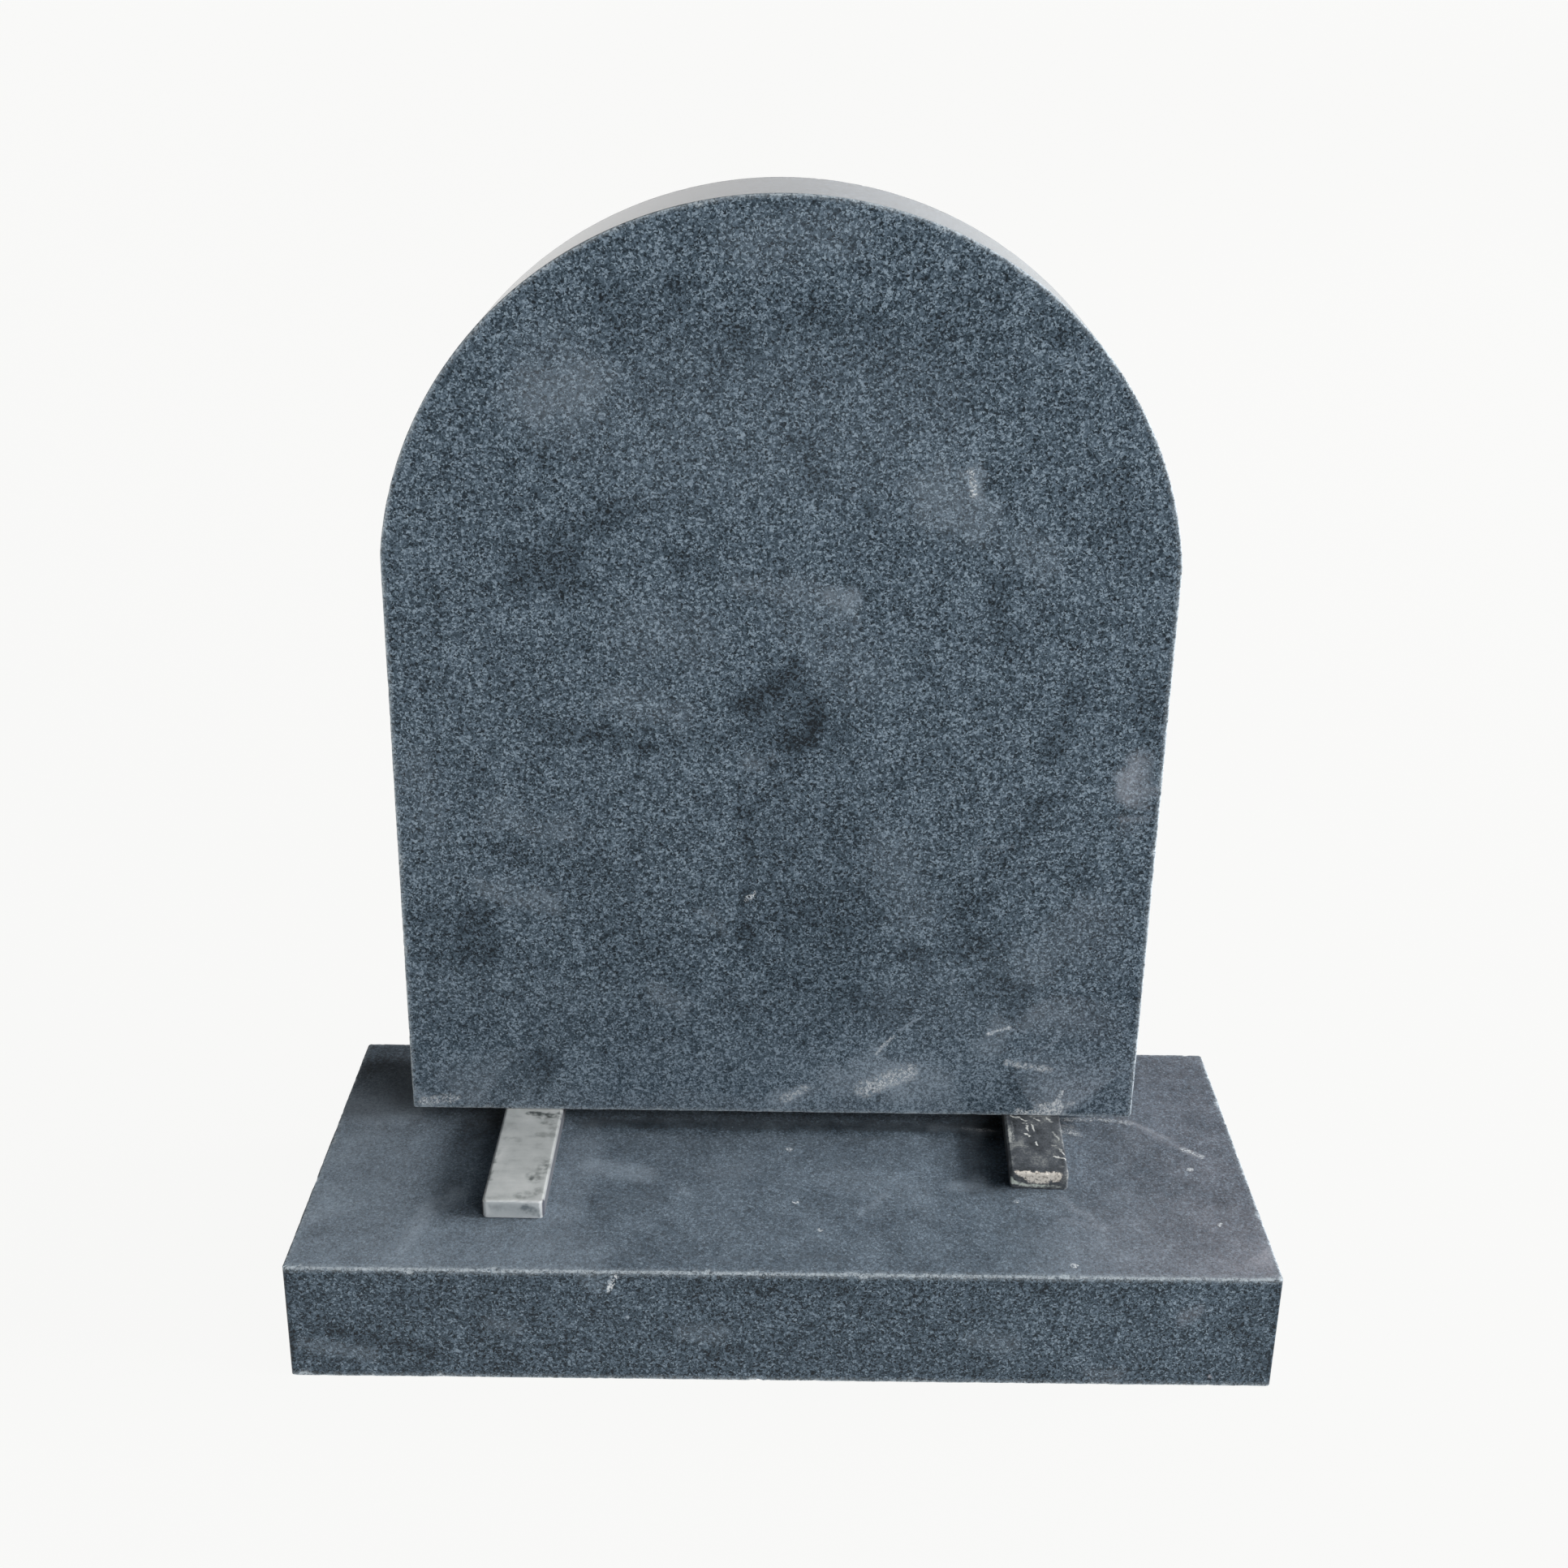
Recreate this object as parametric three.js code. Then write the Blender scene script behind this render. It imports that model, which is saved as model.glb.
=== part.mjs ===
// A granite headstone: a round-topped tablet standing on two flat steel bars, on a base slab.
// Millimetres, +Z up, the face of the stone looks along -Y.
// The origin is the centre of the base slab's underside.
import * as THREE from 'three';

// Base slab
const baseWidth = 762;
const baseDepth = 305;
const baseHeight = 102;

// Tablet: straight sides up to the shoulders, then one flattened arc
const tabletWidth = 610;
const tabletThickness = 102;
const shoulderHeight = 492;
const archRise = 275;
const tabletFrontMargin = 183.6;
const tabletSideShift = -11;

// Steel bars that hold the tablet off the base
const barThickness = 16;
const leftBarWidth = 49;
const rightBarWidth = 47.5;
const leftBarInset = 101.3;
const rightBarInset = 87.5;
const leftBarFrontReach = 122.8;
const rightBarFrontReach = 77.4;
const barBackReach = 6;
const leftBarSkew = THREE.MathUtils.degToRad(-0.4);
const rightBarSkew = THREE.MathUtils.degToRad(-2.2);

// Edges as the saw and the rubbing block leave them
const stoneArris = 1.5;
const stoneCornerRadius = 2.5;
const barEdgeRadius = 2.4;
const barEndArris = 2;
const bearingGap = 0.3;

// Steps along each round stretch
const arrisSteps = 3;
const cornerSteps = 4;
const archSteps = 120;

const granite = { color: 0x545f68, roughness: 0.55, metalness: 0 };
const bareSteel = { color: 0xa6a8a7, roughness: 0.42, metalness: 1 };
const blackenedSteel = { color: 0x4a4e51, roughness: 0.5, metalness: 0.6 };

function arc(centreX, centreY, radius, from, to, steps) {
  return new THREE.EllipseCurve(centreX, centreY, radius, radius, from, to).getPoints(steps);
}

// A rectangle centred on the origin, with a round at each corner.
function rectangleOutline(width, height, radius) {
  const x = width / 2 - radius;
  const y = height / 2 - radius;
  const quarter = Math.PI / 2;
  const corners = [[x, -y], [x, y], [-x, y], [-x, -y]];
  return corners.flatMap(([centreX, centreY], turn) =>
    arc(centreX, centreY, radius, (turn - 1) * quarter, turn * quarter, cornerSteps));
}

// The tablet's face, with x = 0 on its middle line and y = 0 on its bottom edge.
// The arc meets the sides at the shoulders, so its radius follows from half the width and the rise.
function tabletOutline() {
  const half = tabletWidth / 2;
  const archRadius = (half * half + archRise * archRise) / (2 * archRise);
  const archCentre = shoulderHeight + archRise - archRadius;
  const shoulderAngle = Math.asin((shoulderHeight - archCentre) / archRadius);
  const foot = half - stoneCornerRadius;
  return [
    ...arc(foot, stoneCornerRadius, stoneCornerRadius, -Math.PI / 2, 0, cornerSteps),
    ...arc(0, archCentre, archRadius, shoulderAngle, Math.PI - shoulderAngle, archSteps),
    ...arc(-foot, stoneCornerRadius, stoneCornerRadius, Math.PI, 1.5 * Math.PI, cornerSteps),
  ];
}

// A slab of the given outline from z = 0 to its thickness, with rounded arrises on both faces.
function slab(outline, thickness, arris) {
  const geometry = new THREE.ExtrudeGeometry(new THREE.Shape(outline), {
    depth: thickness - 2 * arris,
    bevelThickness: arris,
    bevelSize: arris,
    bevelOffset: -arris,
    bevelSegments: arrisSteps,
  });
  return geometry.translate(0, 0, arris);
}

function piece(name, geometry, finish) {
  const mesh = new THREE.Mesh(geometry, new THREE.MeshStandardMaterial(finish));
  mesh.name = name;
  return mesh;
}

const tabletFront = tabletFrontMargin - baseDepth / 2;
const tabletBottom = baseHeight + bearingGap + barThickness + bearingGap;

function makeBase() {
  const plan = rectangleOutline(baseWidth, baseDepth, stoneCornerRadius);
  return piece('base', slab(plan, baseHeight, stoneArris), granite);
}

// The outline is drawn flat, then stood up: its y becomes height and its thickness runs forward.
function makeTablet() {
  const mesh = piece('tablet', slab(tabletOutline(), tabletThickness, stoneArris), granite);
  mesh.rotation.x = Math.PI / 2;
  mesh.position.set(tabletSideShift, tabletFront + tabletThickness, tabletBottom);
  return mesh;
}

// A bar runs from its front end, in view, to just behind the tablet.
// Its group stands at the middle of the front end and turns with the bar.
function makeBar(name, finish, width, centreX, frontReach, skew) {
  const length = frontReach + tabletThickness + barBackReach;
  const section = rectangleOutline(width, barThickness, barEdgeRadius);
  const bar = piece(name, slab(section, length, barEndArris), finish);
  bar.rotation.x = Math.PI / 2;
  bar.position.y = length;
  const place = new THREE.Group();
  place.position.set(centreX, tabletFront - frontReach, baseHeight + bearingGap + barThickness / 2);
  place.rotation.z = skew;
  place.add(bar);
  return place;
}

const leftBarCentre = tabletSideShift - tabletWidth / 2 + leftBarInset;
const rightBarCentre = tabletSideShift + tabletWidth / 2 - rightBarInset;

const headstone = new THREE.Group();
headstone.add(
  makeBase(),
  makeBar('left_bar', bareSteel, leftBarWidth, leftBarCentre, leftBarFrontReach, leftBarSkew),
  makeBar('right_bar', blackenedSteel, rightBarWidth, rightBarCentre, rightBarFrontReach, rightBarSkew),
  makeTablet(),
);

export default headstone;
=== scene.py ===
"""A granite headstone: a round-topped tablet standing on two flat steel bars, on a base slab."""

import math

import bpy
import numpy as np
from mathutils import Matrix, Vector, noise
from mathutils.geometry import delaunay_2d_cdt


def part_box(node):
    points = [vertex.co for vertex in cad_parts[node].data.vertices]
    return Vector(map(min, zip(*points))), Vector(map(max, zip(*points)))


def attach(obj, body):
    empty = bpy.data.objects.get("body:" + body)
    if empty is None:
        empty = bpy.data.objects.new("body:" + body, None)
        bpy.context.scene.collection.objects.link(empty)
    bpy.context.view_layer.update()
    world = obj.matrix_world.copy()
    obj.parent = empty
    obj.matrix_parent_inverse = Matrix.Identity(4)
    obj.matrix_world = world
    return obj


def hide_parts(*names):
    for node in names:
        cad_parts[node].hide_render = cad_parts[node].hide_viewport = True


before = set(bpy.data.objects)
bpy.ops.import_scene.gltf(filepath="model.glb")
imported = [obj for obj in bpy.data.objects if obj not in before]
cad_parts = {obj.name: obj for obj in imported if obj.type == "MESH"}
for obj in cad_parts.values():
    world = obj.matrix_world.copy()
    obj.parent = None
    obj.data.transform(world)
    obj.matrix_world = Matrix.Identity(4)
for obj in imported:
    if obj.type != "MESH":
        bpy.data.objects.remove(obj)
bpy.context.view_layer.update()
MM = 0.001


# Base slab
# A rectangular block of dark grey granite. The faces are sawn and honed, the arrises only rubbed
# with a block, so they carry small bites where crystals broke out and show pale along the saw line.

base_low, base_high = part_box("base")
BASE_CORNER = 2.5 * MM
BASE_ARRIS = 1.1 * MM
STONE_STEP = 1.6 * MM
DIRT_STEP = 4 * MM


def straight_side(start, end):
    """Gives place and inward direction at a share of a straight side, walked counter-clockwise."""
    start, end = np.array(start), np.array(end)
    along = (end - start) / np.linalg.norm(end - start)
    inward = np.array([-along[1], along[0]])
    return lambda share: (start + np.outer(share, end - start), np.tile(inward, (len(share), 1)))


def side_length(side):
    """Length of a side, measured along a hundred short steps."""
    places, _ = side(np.linspace(0, 1, 100))
    return np.linalg.norm(np.diff(places, axis=0), axis=1).sum()


def outline(sides, corner, step):
    """Walks a closed outline. Gives places, rounded at the corners, and the way each moves inward."""
    places, inwards = [], []
    for index, side in enumerate(sides):
        length = side_length(side)
        near_corner = corner * np.linspace(0, 1, 5)[:-1]
        middle = np.linspace(corner, length - corner, max(2, round(length / step)))
        walked = np.concatenate([near_corner, middle, length - near_corner[:0:-1]])
        place, inward = side(walked / length)
        before = sides[index - 1](np.array([1.0]))[1][0]
        after = sides[(index + 1) % len(sides)](np.array([0.0]))[1][0]
        tilt = [mitre(before, inward[0]) - inward[0], mitre(inward[-1], after) - inward[-1]]
        shares = (walked / length)[:, None]
        along = np.stack([inward[:, 1], -inward[:, 0]], axis=1)
        for near, other, sense in ((walked, before, 1), (length - walked, after, -1)):
            if np.dot(other, inward[0 if sense == 1 else -1]) < 0.9:
                turn = (math.pi / 4) * np.clip(1 - near / corner, 0, 1)
                slide = np.where(turn > 0, corner * (1 - np.sin(turn)) - near, 0)
                place = place + along * (sense * slide)[:, None]
                place = place + inward * (corner * (1 - np.cos(turn)))[:, None]
        places.append(place)
        inwards.append(inward + tilt[0] * (1 - shares) + tilt[1] * shares)
    return np.concatenate(places), np.concatenate(inwards)


def mitre(one, other):
    """The inward way at a corner that keeps both of its sides at one distance."""
    return (one + other) / (1 + np.dot(one, other))


def bites(walked, seed, per_metre, width, depth):
    """Depth of the small shell-shaped bites along an arris, at each walked length."""
    random = np.random.default_rng(seed)
    total = walked[-1]
    deep = np.zeros(len(walked))
    for _ in range(int(total * per_metre)):
        middle, half = random.uniform(0, total), width * random.uniform(0.25, 1) / 2
        reach = (walked - middle) / half
        shell = np.sqrt(np.clip(1 - reach**2, 0, 1)) * depth * random.uniform(0.15, 1) ** 2
        deep = np.maximum(deep, shell)
    return deep


def worn_arris(walked, seed, size):
    """How far an arris is worn back at each walked length: its size, waviness and bites."""
    wave = sum(np.sin(walked / length + seed) for length in (11 * MM, 23 * MM, 5 * MM)) / 3
    fine = bites(walked, seed, per_metre=150, width=5 * MM, depth=size)
    broad = bites(walked, seed + 1, per_metre=14, width=12 * MM, depth=2.4 * size)
    return size * (0.75 + 0.25 * wave) + fine + broad


def fine_cap(places, inwards, ring, spacing):
    """Corners and triangles that fill a convex ring with an even grid, so that it can carry dirt."""
    low, high = places.min(axis=0), places.max(axis=0)
    across, up = (np.arange(low[i] + spacing, high[i], spacing) for i in (0, 1))
    grid = np.stack(np.meshgrid(across, up), axis=2).reshape(-1, 2)
    room = np.min([(grid - place) @ inward for place, inward in zip(places[::3], inwards[::3])], axis=0)
    grid = grid[room > 2.5 * spacing]
    corners = [Vector(corner) for corner in np.concatenate([ring, grid])]
    loop = [(i, (i + 1) % len(ring)) for i in range(len(ring))]
    _, _, triangles, origins, _, _ = delaunay_2d_cdt(corners, loop, [], 1, 1e-7)
    return grid, [[origins[corner][0] for corner in triangle] for triangle in triangles]


# How far a worn arris falls in from a square one, the least width over which its wear fades out,
# and how much of a slab's thickness is kept for it at either face.
ARRIS_ROUNDNESS = 0.84
LEAST_FADE = 0.6 * MM
ARRIS_ZONE = 12 * MM


def worn_slab(name, places, inwards, thickness, arris_sizes, seed, extra=None, rows=8, cap=None):
    """A slab from z = 0 to its thickness with worn arrises. Attribute arris is 1 on worn edges.

    Its second face is a grid of the spacing cap where one is given, so that it can carry dirt."""
    steps = np.linalg.norm(np.diff(places, axis=0, append=places[:1]), axis=1)
    walked = np.cumsum(steps)
    rings = []
    for face, size in enumerate(arris_sizes):
        on_face = worn_arris(walked, seed + 10 * face, size)
        down_side = worn_arris(walked, seed + 10 * face + 5, size)
        if extra is not None:
            on_face = on_face + extra(walked, places, face)
            down_side = down_side + extra(walked, places, face)
        fade = max(size, LEAST_FADE)
        half_rings = [(on_face + 4 * fade, 0 * walked, 0.0), (on_face + fade, 0 * walked, 0.3)]
        for turn in np.linspace(0, 1, 5):
            bulge = 1 - ARRIS_ROUNDNESS * turn * (1 - turn)
            half_rings.append((on_face * (1 - turn) * bulge, down_side * turn * bulge, 1.0))
        half_rings += [(0 * walked, down_side + fade, 0.3), (0 * walked, down_side + 4 * fade, 0.0)]
        if face:
            half_rings = [(inset, thickness - down, worn) for inset, down, worn in half_rings[::-1]]
        rings.append(half_rings)
    middle = [(0 * walked, 0 * walked + height, 0.0)
              for height in np.linspace(ARRIS_ZONE, thickness - ARRIS_ZONE, rows)]
    rings = rings[0] + middle + rings[1]
    count = len(places)
    vertices = np.concatenate([
        np.column_stack([places + inwards * inset[:, None], height]) for inset, height, _ in rings])
    ring_start = np.arange(len(rings) - 1)[:, None] * count
    here, following = np.arange(count), np.roll(np.arange(count), -1)
    quads = np.stack([ring_start + here, ring_start + following,
                      ring_start + count + following, ring_start + count + here], axis=2)
    faces = quads.reshape(-1, 4).tolist()
    faces.append(list(range(count - 1, -1, -1)))
    worn_share = np.repeat([ring[2] for ring in rings], count)
    last = len(vertices) - count
    if cap is None:
        faces.append(list(range(last, last + count)))
    else:
        grid, triangles = fine_cap(places, inwards, vertices[last:, :2], cap)
        vertices = np.concatenate([vertices, np.column_stack([grid, np.full(len(grid), thickness)])])
        worn_share = np.concatenate([worn_share, np.zeros(len(grid))])
        faces += [[last + corner for corner in triangle] for triangle in triangles]
    mesh = bpy.data.meshes.new(name)
    mesh.from_pydata(vertices.tolist(), [], faces)
    worn = mesh.attributes.new("arris", "FLOAT", "POINT")
    worn.data.foreach_set("value", worn_share.astype(np.float32))
    mesh.polygons.foreach_set("use_smooth", [True] * len(mesh.polygons))
    mesh.set_sharp_from_angle(angle=math.radians(40))
    piece = bpy.data.objects.new(name, mesh)
    bpy.context.scene.collection.objects.link(piece)
    return piece


base_size = base_high - base_low
half_width, half_depth = base_size.x / 2, base_size.y / 2
base_corners = [(-half_width, -half_depth), (half_width, -half_depth),
                (half_width, half_depth), (-half_width, half_depth)]
base_sides = [straight_side(base_corners[i], base_corners[(i + 1) % 4]) for i in range(4)]
base_places, base_inwards = outline(base_sides, BASE_CORNER, STONE_STEP)
base = worn_slab("base_slab", base_places, base_inwards, base_size.z, (BASE_ARRIS, BASE_ARRIS), 3,
                 rows=18, cap=DIRT_STEP)


def linear(colour):
    """An sRGB hex colour as the linear red, green, blue and alpha that a shader takes."""
    channels = [int(colour[i:i + 2], 16) / 255 for i in (1, 3, 5)]
    return [c / 12.92 if c <= 0.04045 else ((c + 0.055) / 1.055) ** 2.4 for c in channels] + [1.0]


def add(tree, kind, inputs=None, stops=(), **settings):
    """Adds a node with its settings and ramp stops, sets or links its inputs, gives its outputs."""
    node = tree.nodes.new(kind)
    for name, value in settings.items():
        setattr(node, name, value)
    for index, (place, colour) in enumerate(stops):
        if index > 1:
            node.color_ramp.elements.new(place)
        node.color_ramp.elements[index].position = place
        node.color_ramp.elements[index].color = linear(colour)
    for socket, value in (inputs or {}).items():
        if isinstance(value, bpy.types.NodeSocket):
            tree.links.new(value, node.inputs[socket])
        else:
            node.inputs[socket].default_value = value
    return node.outputs


def stroked(points, strokes):
    """Sum of soft-edged strokes at points: each is two ends, its reach in millimetres and amount."""
    total = np.zeros(len(points))
    for start, end, reach, amount in strokes:
        start, along = np.array(start), np.array(end) - np.array(start)
        share = np.clip((points - start) @ along / max(along @ along, 0.01), 0, 1)
        apart = np.linalg.norm(points - start - share[:, None] * along, axis=1) / reach
        near = np.clip((1 - apart) / 0.75, 0, 1)
        total += amount * near**2 * (3 - 2 * near)
    return total


# Without a seed this noise starts from the clock, and would be another one in each run.
RAGGED_SEED = 5


def soil(piece, ragged, **marks):
    """Stores strokes as point attributes, with their outlines drawn out ragged by so many mm.

    The outlines wander in long waves of 14 mm and, half as far, in short ones of 5 mm."""
    noise.seed_set(RAGGED_SEED)
    points = np.array([vertex.co for vertex in piece.data.vertices]) / MM
    drawn = [ragged * noise.noise_vector(Vector(point) / 14)
             + 0.5 * ragged * noise.noise_vector(Vector(point) / 5) for point in points]
    points = points + np.array(drawn)
    for name, strokes in marks.items():
        layer = piece.data.attributes.new(name, "FLOAT", "POINT")
        layer.data.foreach_set("value", stroked(points, strokes).astype(np.float32))


# A smear is a soft-edged stroke between two points, or a spot where both are the same point.
smear = bpy.data.node_groups.new("smear", "ShaderNodeTree")
for socket, kind in (("Value", "Float"), ("Place", "Vector"), ("From", "Vector"), ("To", "Vector"),
                     ("Reach", "Float"), ("Amount", "Float")):
    smear.interface.new_socket(socket, in_out="INPUT", socket_type="NodeSocket" + kind)
smear.interface.new_socket("Value", in_out="OUTPUT", socket_type="NodeSocketFloat")
given = add(smear, "NodeGroupInput")
along = add(smear, "ShaderNodeVectorMath", {0: given["To"], 1: given["From"]}, operation="SUBTRACT")
away = add(smear, "ShaderNodeVectorMath", {0: given["Place"], 1: given["From"]},
           operation="SUBTRACT")
reached = add(smear, "ShaderNodeVectorMath", {0: away[0], 1: along[0]}, operation="DOT_PRODUCT")
whole = add(smear, "ShaderNodeVectorMath", {0: along[0], 1: along[0]}, operation="DOT_PRODUCT")
whole = add(smear, "ShaderNodeMath", {0: whole["Value"], 1: 0.01}, operation="MAXIMUM")
share = add(smear, "ShaderNodeMath", {0: reached["Value"], 1: whole[0]}, operation="DIVIDE",
            use_clamp=True)
nearest = add(smear, "ShaderNodeVectorMath", {0: along[0], "Scale": share[0]}, operation="SCALE")
apart = add(smear, "ShaderNodeVectorMath", {0: away[0], 1: nearest[0]}, operation="DISTANCE")
spread = add(smear, "ShaderNodeMath", {0: apart["Value"], 1: given["Reach"]}, operation="DIVIDE")
cover = add(smear, "ShaderNodeMapRange", {"Value": spread[0], "From Min": 1.0, "From Max": 0.25},
            interpolation_type="SMOOTHSTEP")
result = add(smear, "ShaderNodeMath", {0: cover[0], 1: given["Amount"], 2: given["Value"]},
             operation="MULTIPLY_ADD")
add(smear, "NodeGroupOutput", {0: result[0]})


def smears(tree, value, place, strokes):
    """Adds strokes to a value: each is two points, its reach in millimetres and its amount."""
    for start, end, reach, amount in strokes:
        value = add(tree, "ShaderNodeGroup",
                    {"Value": value, "Place": place, "From": start, "To": end, "Reach": reach,
                     "Amount": amount}, node_tree=smear)[0]
    return value


def fray(tree, mm, size, detail, push):
    """Places in millimetres, pushed about by noise so that the strokes read at them end ragged."""
    away = add(tree, "ShaderNodeTexNoise", {"Vector": mm, "Scale": 1 / size, "Detail": detail})["Color"]
    away = add(tree, "ShaderNodeVectorMath", {0: away, 1: (0.5, 0.5, 0.5)}, operation="SUBTRACT")[0]
    return add(tree, "ShaderNodeVectorMath", {0: away, 1: (push, push, push), 2: mm},
               operation="MULTIPLY_ADD")[0]


GRAIN = 1.4


def granite(name, middle, spread, scratches, powders, dusty_above, smooth_between):
    """Dark grey granite of fine grain, honed flat: slate-grey feldspar gives the even tone, black
    mica and pale quartz the salt and pepper, and it is so close that it shines only at a slant.

    Middle and spread set the tone. Scratches and powders are strokes in millimetres. Dust lies on
    what is above dusty_above, and the faces are smoother where y is between smooth_between."""
    material = bpy.data.materials.new(name)
    material.use_nodes = True
    tree = material.node_tree
    tree.nodes.clear()
    place = add(tree, "ShaderNodeTexCoord")["Object"]
    mm = add(tree, "ShaderNodeVectorMath", {0: place, "Scale": 1000.0}, operation="SCALE")[0]
    axes = add(tree, "ShaderNodeSeparateXYZ", {0: mm})

    # Crystals of feldspar, bent so that no border is straight, with finer grains woven through them.
    wander = add(tree, "ShaderNodeTexNoise", {"Vector": mm, "Scale": 1 / 2.1, "Detail": 0.0})
    bent = add(tree, "ShaderNodeVectorMath", {0: wander["Color"], 1: (3.0, 3.0, 3.0), 2: mm},
               operation="MULTIPLY_ADD")[0]
    crystals = add(tree, "ShaderNodeTexVoronoi", {"Vector": bent, "Scale": 1 / GRAIN})
    crystal = add(tree, "ShaderNodeSeparateColor", {0: crystals["Color"]})[0]
    weave = add(tree, "ShaderNodeTexNoise", {"Vector": mm, "Scale": 1 / 1.9, "Detail": 2.0,
                                             "Roughness": 0.7, "Distortion": 0.9})["Fac"]
    cloud = add(tree, "ShaderNodeTexNoise", {"Vector": mm, "Scale": 1 / 30, "Detail": 4.0,
                                             "Roughness": 0.7})["Fac"]
    tone = add(tree, "ShaderNodeMath", {0: crystal, 1: 0.68}, operation="MULTIPLY")[0]
    tone = add(tree, "ShaderNodeMath", {0: weave, 1: 0.6, 2: tone}, operation="MULTIPLY_ADD")[0]
    tone = add(tree, "ShaderNodeMath", {0: cloud, 1: 0.34, 2: tone}, operation="MULTIPLY_ADD")[0]
    tone = add(tree, "ShaderNodeMapRange", {"Value": tone, "From Min": middle - spread / 2,
                                            "From Max": middle + spread / 2})[0]

    # Black mica about 5 mm apart and small pale quartz about 6.5 mm apart, in some cells only.
    mica = add(tree, "ShaderNodeTexVoronoi", {"Vector": bent, "Scale": 1 / 5.0})
    chosen = add(tree, "ShaderNodeSeparateColor", {0: mica["Color"]})
    black = add(tree, "ShaderNodeMapRange", {"Value": mica["Distance"], "From Min": 0.30,
                                             "From Max": 0.12})[0]
    picked = add(tree, "ShaderNodeMapRange", {"Value": chosen[0], "From Min": 0.35,
                                              "From Max": 0.9, "To Max": -0.35})[0]
    tone = add(tree, "ShaderNodeMath", {0: black, 1: picked, 2: tone}, operation="MULTIPLY_ADD")[0]
    quartz = add(tree, "ShaderNodeTexVoronoi", {"Vector": mm, "Scale": 1 / 6.5})
    chosen = add(tree, "ShaderNodeSeparateColor", {0: quartz["Color"]})
    pale = add(tree, "ShaderNodeMapRange", {"Value": quartz["Distance"], "From Min": 0.13,
                                            "From Max": 0.05})[0]
    picked = add(tree, "ShaderNodeMapRange", {"Value": chosen[0], "From Min": 0.4,
                                              "From Max": 1.0, "To Max": 1.1})[0]
    tone = add(tree, "ShaderNodeMath", {0: pale, 1: picked, 2: tone}, operation="MULTIPLY_ADD")[0]

    # Stains darken the tone and take the grain's own patchiness. On the base some of these strokes
    # are painted shadows instead, and one is painted light.
    patchy = add(tree, "ShaderNodeMapRange", {"Value": weave, "From Min": 0.3, "From Max": 0.7,
                                              "To Min": 0.62, "To Max": 1.33})[0]
    stain = add(tree, "ShaderNodeAttribute", attribute_name="stain")["Fac"]
    tone = add(tree, "ShaderNodeMath", {0: stain, 1: patchy, 2: tone}, operation="MULTIPLY_ADD")[0]
    colour = add(tree, "ShaderNodeValToRGB", {"Fac": tone},
                 stops=[(0.0, "#08131b"), (0.2, "#1f2e39"), (0.5, "#3f4e5a"), (0.75, "#566674"),
                        (1.0, "#8393a0")])["Color"]

    # Grey dust: a thin film that settled on top, thicker heaps and wiped places, and fine scratches.
    # On the base some heaps and wiped places are painted light and painted shade, near
    # the bars and the tablet.
    upward = add(tree, "ShaderNodeMapRange", {"Value": axes[2], "From Min": dusty_above - 1.2,
                                              "From Max": dusty_above})[0]
    settled_dust_and_painted_light = add(tree, "ShaderNodeMapRange", {"Value": cloud, "From Min": 0.3, "From Max": 0.7,
                                               "To Min": 0.18, "To Max": 0.36})[0]
    heaped_dust_and_painted_light = add(tree, "ShaderNodeAttribute", attribute_name="dust")["Fac"]
    settled_dust_and_painted_light = add(tree, "ShaderNodeMath", {0: settled_dust_and_painted_light, 1: heaped_dust_and_painted_light}, operation="ADD",
                  use_clamp=True)[0]
    film = add(tree, "ShaderNodeMath", {0: upward, 1: settled_dust_and_painted_light}, operation="MULTIPLY")[0]
    marks = add(tree, "ShaderNodeAttribute", attribute_name="film")["Fac"]
    film = add(tree, "ShaderNodeMath", {0: film, 1: marks}, operation="ADD")[0]
    frayed = fray(tree, mm, size=4, detail=1.0, push=5.0)
    film = smears(tree, film, frayed, scratches)
    film = add(tree, "ShaderNodeMath", {0: film, 1: patchy}, operation="MULTIPLY",
               use_clamp=True)[0]
    dust = add(tree, "ShaderNodeMix", {0: cloud, 6: linear("#a5aeb8"), 7: linear("#9cabb8")},
               data_type="RGBA")[2]
    earthy = add(tree, "ShaderNodeMapRange", {"Value": axes[0], "From Min": 180.0,
                                              "From Max": 340.0, "To Max": 0.8})[0]
    dust = add(tree, "ShaderNodeMix", {0: earthy, 6: dust, 7: linear("#b0aeb6")},
               data_type="RGBA")[2]
    colour = add(tree, "ShaderNodeMix", {0: film, 6: colour, 7: dust}, data_type="RGBA")[2]

    # White powder sits in crumbs, on the grain's high places first.
    powder = smears(tree, 0.0, frayed, powders)
    crumbs = add(tree, "ShaderNodeMapRange", {"Value": weave, "From Min": 0.57, "From Max": 0.42,
                                              "To Min": -1.3, "To Max": 2.5})[0]
    powder = add(tree, "ShaderNodeMath", {0: powder, 1: crumbs}, operation="MULTIPLY",
                 use_clamp=True)[0]
    colour = add(tree, "ShaderNodeMix", {0: powder, 6: colour, 7: linear("#d0d5d9")},
                 data_type="RGBA")[2]

    # Along the arrises the stone is bruised pale, in broken bits.
    worn = add(tree, "ShaderNodeAttribute", attribute_name="arris")["Fac"]
    broken = add(tree, "ShaderNodeMapRange", {"Value": weave, "From Min": 0.36, "From Max": 0.6,
                                              "To Min": 0.12, "To Max": 1.1})[0]
    worn = add(tree, "ShaderNodeMath", {0: worn, 1: broken}, operation="MULTIPLY")[0]
    colour = add(tree, "ShaderNodeMix", {0: worn, 6: colour, 7: linear("#b0bac1")},
                 data_type="RGBA")[2]

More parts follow.
